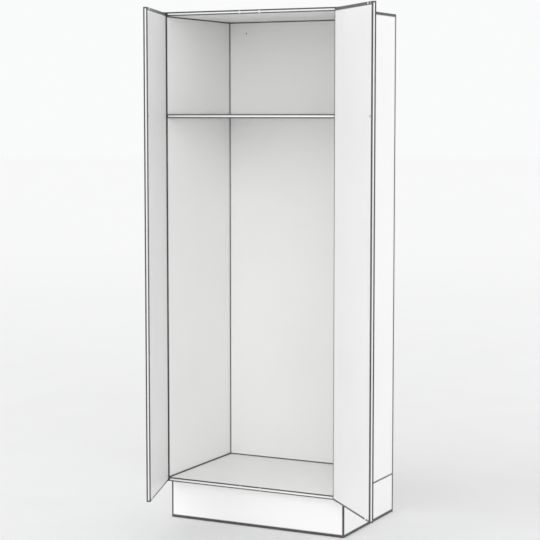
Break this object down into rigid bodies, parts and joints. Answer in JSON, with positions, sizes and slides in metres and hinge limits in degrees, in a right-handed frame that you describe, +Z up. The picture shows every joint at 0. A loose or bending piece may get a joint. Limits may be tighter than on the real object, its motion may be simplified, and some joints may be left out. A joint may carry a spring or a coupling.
{
  "type": "tall kitchen cabinet",
  "caption": "Tall two-door kitchen cabinet on a set-back plinth, with a fixed shelf high up and pivot-hung overlay doors standing open.",
  "frame": {"origin": "where the cabinet's centre line meets the wall and the floor, under the middle of the plinth's back", "axes": "+X to the right seen from the front, +Y towards the wall, +Z up"},
  "size_m": [1.0733, 0.9456, 2.122],
  "materials": {
    "carcass_board": "white melamine-faced particle board",
    "door_board": "white lacquered particle board",
    "plinth_board": "white melamine-faced particle board",
    "back_board": "white-faced hardboard",
    "edge_band": "white edge band",
    "block_pine": "bare pine",
    "dowel_beech": "bare beech",
    "cam_zinc": "bare die-cast zinc",
    "satin_steel": "satin steel",
    "coated_steel": "white powder-coated steel",
    "zinc_plated_steel": "bright zinc-plated steel",
    "magnet": "nickel-plated magnet",
    "catch_plastic": "white moulded plastic",
    "cap_plastic": "white moulded plastic",
    "washer_nylon": "natural nylon",
    "bumper_silicone": "translucent silicone"
  },
  "bodies": {
    "carcass": {"back_panel": "back_board", "back_rail_bottom": "carcass_board", "back_rail_middle": "carcass_board", "back_rail_top": "carcass_board", "bottom_edge_band": "edge_band", "bottom_panel": "carcass_board", "cam_bolts": "zinc_plated_steel", "cam_housings": "cam_zinc", "catch_magnets": "magnet", "catch_sleeves": "catch_plastic", "panel_dowels": "dowel_beech", "pivot_pins": "satin_steel", "pivot_plate_bottom_left": "satin_steel", "pivot_plate_bottom_right": "satin_steel", "pivot_plate_screws": "zinc_plated_steel", "pivot_plate_top_left": "satin_steel", "pivot_plate_top_right": "satin_steel", "pivot_washers": "washer_nylon", "plinth_back": "plinth_board", "plinth_bracket_screws": "zinc_plated_steel", "plinth_brackets": "satin_steel", "plinth_corner_blocks": "block_pine", "plinth_front": "plinth_board", "plinth_side_left": "plinth_board", "plinth_side_right": "plinth_board", "rail_dowels": "dowel_beech", "shelf": "carcass_board", "shelf_cam_caps": "cap_plastic", "shelf_edge_band": "edge_band", "side_edge_band_left": "edge_band", "side_edge_band_right": "edge_band", "side_panel_left": "carcass_board", "side_panel_right": "carcass_board", "top_edge_band": "edge_band", "top_panel": "carcass_board"},
    "left_door": {"left_door_bottom_edge_band": "edge_band", "left_door_bumpers": "bumper_silicone", "left_door_free_edge_band": "edge_band", "left_door_hinge_edge_band": "edge_band", "left_door_leaf_screws": "zinc_plated_steel", "left_door_panel": "door_board", "left_door_pivot_leaf_bottom": "satin_steel", "left_door_pivot_leaf_top": "satin_steel", "left_door_strikes": "coated_steel", "left_door_top_edge_band": "edge_band"},
    "right_door": {"right_door_bottom_edge_band": "edge_band", "right_door_bumpers": "bumper_silicone", "right_door_free_edge_band": "edge_band", "right_door_hinge_edge_band": "edge_band", "right_door_leaf_screws": "zinc_plated_steel", "right_door_panel": "door_board", "right_door_pivot_leaf_bottom": "satin_steel", "right_door_pivot_leaf_top": "satin_steel", "right_door_strikes": "coated_steel", "right_door_top_edge_band": "edge_band"}
  },
  "joints": [
    {"name": "left_door_swing", "type": "hinge", "parent": "carcass", "child": "left_door", "pos_m": [-0.392, -0.5765, 1.144], "axis": [0, 0, -1], "range_deg": [-70, 110]},
    {"name": "right_door_swing", "type": "hinge", "parent": "carcass", "child": "right_door", "pos_m": [0.392, -0.5765, 1.144], "axis": [0, 0, 1], "range_deg": [-135, 45]}
  ]
}
